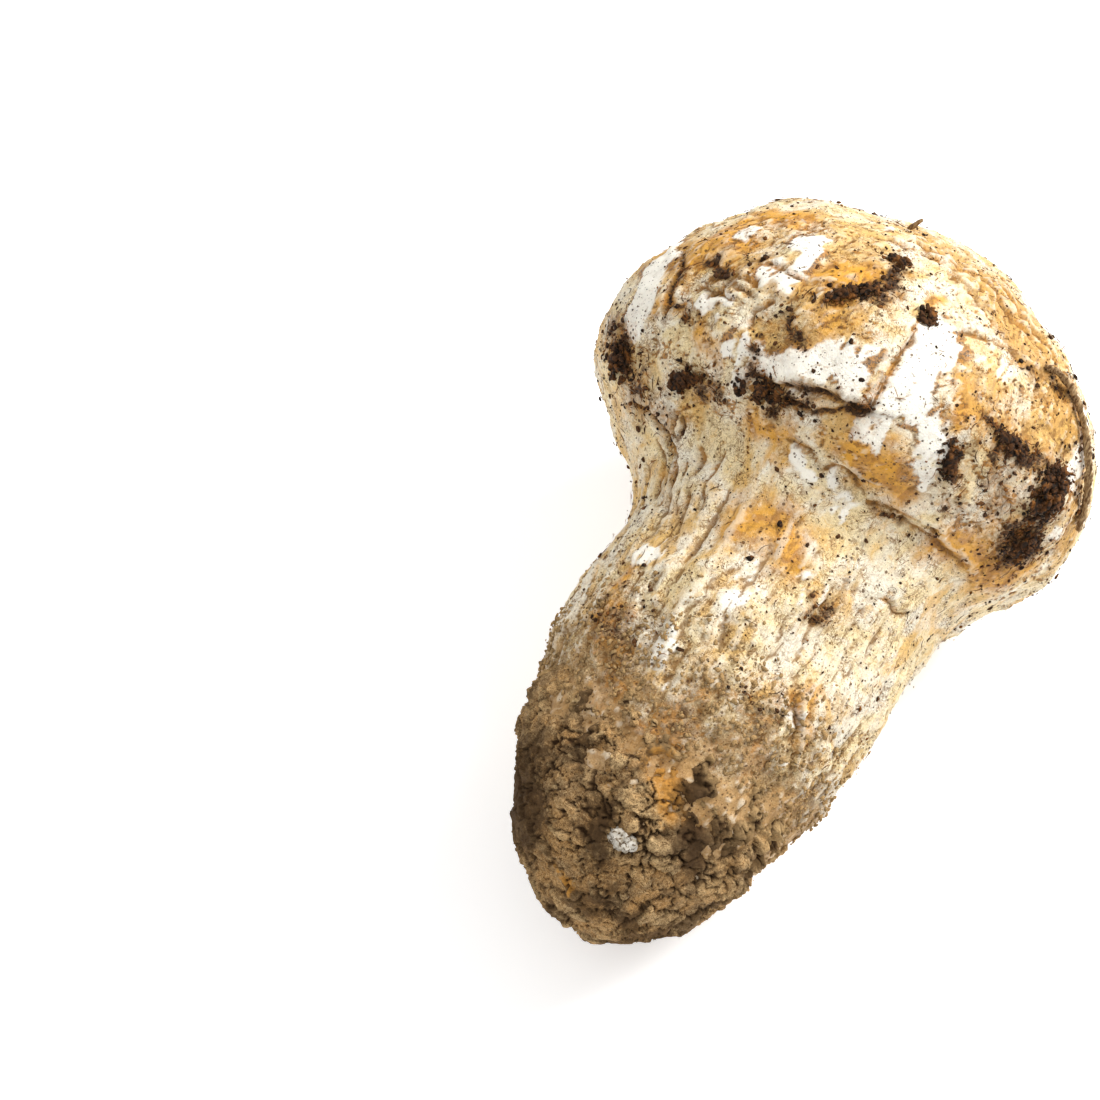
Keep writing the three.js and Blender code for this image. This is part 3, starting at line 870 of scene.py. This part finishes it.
# ---- Small things ----
def ball(detail):
    bm = bmesh.new()
    bmesh.ops.create_icosphere(bm, subdivisions=detail, radius=1)
    points = np.array([v.co for v in bm.verts])
    faces = np.array([[v.index for v in f.verts] for f in bm.faces])
    bm.free()
    return points, faces


def frames(normals, angles):
    """Rotations whose third axis is each normal, turned about it."""
    helper = np.where(np.abs(normals[:, :1]) < 0.8, [[1.0, 0, 0]], [[0, 1.0, 0]])
    u = np.cross(helper, normals)
    u /= np.linalg.norm(u, axis=1, keepdims=True)
    v = np.cross(normals, u)
    c, s = np.cos(angles)[:, None], np.sin(angles)[:, None]
    return np.stack([u * c + v * s, v * c - u * s, normals], axis=2)


def crumbs(centres, normals, sizes, detail=1, rough=0.25):
    """One mesh of lumpy crumbs. sizes are half lengths along each crumb's own axes."""
    points, faces = ball(detail)
    count = len(centres)
    shape = np.repeat(points[None], count, axis=0)
    bumps = 1 + rough * RNG.standard_normal((count, len(points), 1))
    shape = shape * bumps * sizes[:, None, :]
    turned = np.einsum("nij,npj->npi", frames(normals, RNG.uniform(0, 2 * math.pi, count)), shape)
    placed = (turned + centres[:, None, :]).reshape(-1, 3)
    all_faces = (faces[None] + np.arange(count)[:, None, None] * len(points)).reshape(-1, 3)
    return placed, all_faces


def mesh_of(name, parts):
    """One mesh of several (points, faces) parts in body space."""
    points, faces, base = [], [], 0
    for p, f in parts:
        points.append(p)
        faces.append(f + base)
        base += len(p)
    mesh = bpy.data.meshes.new(name)
    mesh.from_pydata(above_floor(to_row(np.concatenate(points))), [], np.concatenate(faces).tolist())
    return mesh


def scattered(count, weight):
    """Skin vertices drawn at random in proportion to weight."""
    return RNG.choice(len(SKIN), count, p=weight / weight.sum())


def grit(surface, count, weight, small, large, lift=0.25, flat=0.6):
    pick = scattered(count, weight)
    size = small + (large - small) * RNG.random(count) ** 2.2
    sizes = size[:, None] * np.column_stack([
        RNG.uniform(0.8, 1.5, count), RNG.uniform(0.6, 1.0, count), flat * np.ones(count)])
    jitter = RNG.normal(0, 0.2, (count, 3))
    centres = surface[pick] + jitter + OUT[pick] * (lift * size)[:, None]
    return crumbs(centres, OUT[pick], sizes, 1)


def fibres(surface, count, weight, long, thick):
    """Short curling hairs of leaf mould, lying on the surface."""
    pick = scattered(count, weight)
    rings, sides = 6, 3
    frame_at = frames(OUT[pick], RNG.uniform(0, 2 * math.pi, count))
    length = long * (0.4 + RNG.random(count))
    bend = RNG.normal(0, 0.9, count)
    t = np.linspace(-0.5, 0.5, rings)
    x = length[:, None] * t
    y = bend[:, None] * length[:, None] * (t ** 2 - 0.08)
    z = 0.12 + 0.25 * RNG.random((count, 1)) * np.ones(rings)
    spine = np.stack([x, y, z], axis=2)
    angle = 2 * math.pi * np.arange(sides) / sides
    radius = thick * RNG.uniform(0.6, 1.3, (count, 1)) * np.array([0.4, 1, 1.1, 1, 0.8, 0.3])
    ring = np.stack([np.zeros(sides), np.cos(angle), np.sin(angle)], axis=1)
    shape = spine[:, :, None, :] + radius[:, :, None, None] * ring
    shape = shape.reshape(count, -1, 3)
    turned = np.einsum("nij,npj->npi", frame_at, shape) + surface[pick][:, None, :]
    faces = []
    for r, k in product(range(rings - 1), range(sides)):
        a, b = r * sides + k, r * sides + (k + 1) % sides
        faces += [[a, b, b + sides], [a, b + sides, a + sides]]
    faces += [[2, 1, 0], [sides * rings - 3, sides * rings - 2, sides * rings - 1]]
    faces = np.array(faces)
    all_faces = (faces[None] + np.arange(count)[:, None, None] * rings * sides).reshape(-1, 3)
    return turned.reshape(-1, 3), all_faces


CLODS = [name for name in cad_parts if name.startswith("mould_")]


def clod(name, surface, material):
    """A heap of crumbs pressed together where the frame has one solid."""
    solid = to_body(points_of(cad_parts[name].data))
    middle = solid.mean(axis=0)
    spread = solid - middle
    _, _, axes = np.linalg.svd(spread, full_matrices=False)
    reach = np.abs(spread @ axes.T).max(axis=0)
    count = int(38 * reach[0] * reach[1]) + 30
    draw = RNG.normal(0, 0.6, (count, 2)) * reach[:2]
    centres = middle + draw @ axes[:2]
    ragged = noise(centres, 1.6, 91) + 0.5 * noise(centres, 0.8, 92)
    edge = np.linalg.norm(draw / reach[:2], axis=1)
    kept = (ragged > -0.24 + 0.42 * (edge - 0.6)) & (edge < 1.8)
    centres, edge, count = centres[kept], edge[kept], int(kept.sum())
    index = np.array([np.argmin(((SKIN - c) ** 2).sum(axis=1)) for c in centres])
    size = (0.1 + 0.36 * RNG.random(count) ** 2) * np.clip(1.3 - 0.5 * edge, 0.45, 1.25)
    heap = np.clip(1 - edge, 0, 1) * RNG.random(count) * reach[2] * 1.1
    centres = surface[index] + OUT[index] * (0.1 + heap)[:, None]
    sizes = size[:, None] * np.column_stack([
        RNG.uniform(0.9, 2.2, count), RNG.uniform(0.6, 1.1, count), RNG.uniform(0.5, 0.9, count)])
    tilt = OUT[index] + RNG.normal(0, 0.35, (count, 3))
    tilt /= np.linalg.norm(tilt, axis=1, keepdims=True)
    mesh = mesh_of(name + "_crumbs", [crumbs(centres, tilt, sizes, 2, 0.12)])
    return show(name + "_crumbs", mesh, material, [name])


# ---- Bark, twig and pebble ----
def roughened(node, voxel, rounds, relief, name, material):
    """A CAD solid remeshed finely, with relief(points) of height along its normals."""
    mesh = remeshed(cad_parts[node].data, voxel, 1)
    set_points(mesh, smoothed(points_of(mesh), pairs_of(mesh), rounds))
    body = to_body(points_of(mesh))
    out = normals_of(mesh) @ AXES.T
    set_points(mesh, above_floor(to_row(body + out * relief(body)[:, None])))
    return show(name, mesh, material, [node])


# ---- Stage ----
CAMERA = {"azimuth": 31.5, "elevation": 60.0, "away": 480.0, "lens": 121.5}
FRAMING = {"right": 26.75, "down": 0.72}  # mm from the picture's middle to the mushroom's

FLOOR_HALF = 2.0  # metres from the middle to an edge
WORLD_LIGHT = 0.42
FLOOR_GLOW = 0.4


def camera_axes():
    a, e = (math.radians(CAMERA[k]) for k in ("azimuth", "elevation"))
    back = Vector((math.sin(a) * math.cos(e), -math.cos(a) * math.cos(e), math.sin(e)))
    right = Vector((math.cos(a), math.sin(a), 0))
    return back, right, back.cross(right)


def stage():
    low, high = (Vector(corner) for corner in CAD_BOX)
    middle = (low + high) / 2
    back, right, up = camera_axes()
    aim = middle - right * (FRAMING["right"] * MM)
    aim += up * (FRAMING["down"] * MM)
    camera = bpy.data.objects.new("camera", bpy.data.cameras.new("camera"))
    camera.data.lens = CAMERA["lens"]
    camera.data.sensor_width = 36
    camera.data.clip_start = 0.01
    camera.location = aim + back * (CAMERA["away"] * MM)
    camera.rotation_euler = back.to_track_quat("Z", "Y").to_euler()
    bpy.context.scene.collection.objects.link(camera)
    bpy.context.scene.camera = camera

    for name, way, distance_m, size, power in (
        ("key", back * 0.55 + right * 0.75 + up * 0.75, 0.55, 0.28, 4.2),
        ("fill", back * 0.9 - right * 0.5 + up * 0.1, 0.7, 0.6, 1.4),
        ("top", Vector((0, 0, 1)), 0.7, 0.7, 0.9),
    ):
        light = bpy.data.objects.new(name, bpy.data.lights.new(name, "AREA"))
        light.data.size = size
        light.data.energy = power
        way = way.normalized()
        light.location = middle + way * distance_m
        light.rotation_euler = way.to_track_quat("Z", "Y").to_euler()
        bpy.context.scene.collection.objects.link(light)

    world = bpy.data.worlds.new("studio")
    world.use_nodes = True
    world.node_tree.nodes["Background"].inputs["Color"].default_value = (1, 1, 1, 1)
    world.node_tree.nodes["Background"].inputs["Strength"].default_value = WORLD_LIGHT
    bpy.context.scene.world = world

    half = FLOOR_HALF
    mesh = bpy.data.meshes.new("floor")
    corners = [(-half, -half, 0), (half, -half, 0), (half, half, 0), (-half, half, 0)]
    mesh.from_pydata(corners, [], [(0, 1, 2, 3)])
    floor = bpy.data.objects.new("floor", mesh)
    s = Shader("pale_floor", 0.9, 0.1)
    s.surface.inputs["Emission Color"].default_value = (1, 1, 1, 1)
    s.surface.inputs["Emission Strength"].default_value = FLOOR_GLOW
    mesh.materials.append(s.finish((0.9, 0.9, 0.9)))
    bpy.context.scene.collection.objects.link(floor)
    bpy.context.scene.view_settings.view_transform = "Standard"
    bpy.context.scene.view_settings.look = "None"


def build():
    mesh, surface = flesh()
    show("flesh", mesh, flesh_material(), ["mushroom_body"])
    soil = earth_material()
    show("earth", earth(), soil, ["soil_crust"])
    mould = mould_material()
    for name in CLODS:
        clod(name, surface, mould)
    bark = bark_material()
    roughened("bark_strip", 0.22, 3, lambda p: 0.16 * layered(p, 0.9, 81, 3, 0.6),
              "bark", bark)
    roughened("twig_end", 0.1, 2, lambda p: 0.06 * layered(p, 0.5, 83, 2), "twig", bark)
    roughened("pebble", 0.16, 3, lambda p: 0.3 * layered(p, 1.3, 85, 3, 0.6),
              "pebble_stone", pebble_material())
    open_skin = np.where(AT > EARTH_TOP + 4, 1.0, 0.0)
    near_mould = marks(BROWN, 0.9)
    thinly = open_skin * (0.5 + 1.6 * near_mould)
    closely = open_skin * (0.02 + near_mould ** 2 + 0.35 * stains(BROWN, 1.9) ** 2)
    dark_grit = [
        grit(surface, 6500, thinly, 0.07, 0.19),
        grit(surface, 2400, closely, 0.12, 0.42),
    ]
    show("dark_grit", mesh_of("dark_grit", dark_grit), mould)
    hairs = [
        fibres(surface, 900, closely, 1.5, 0.06),
        fibres(surface, 700, thinly, 0.8, 0.045),
    ]
    show("hairs", mesh_of("hairs", hairs), hair_material())
    beyond = AT - EARTH_TOP - 4 * WARP[:, 0]
    dusty = step(-8, -2, beyond) * step(20, 2, beyond) ** 2
    show("earth_crumbs", mesh_of("earth_crumbs", [grit(surface, 5200, dusty, 0.1, 0.42)]),
         soil)


stage()
build()
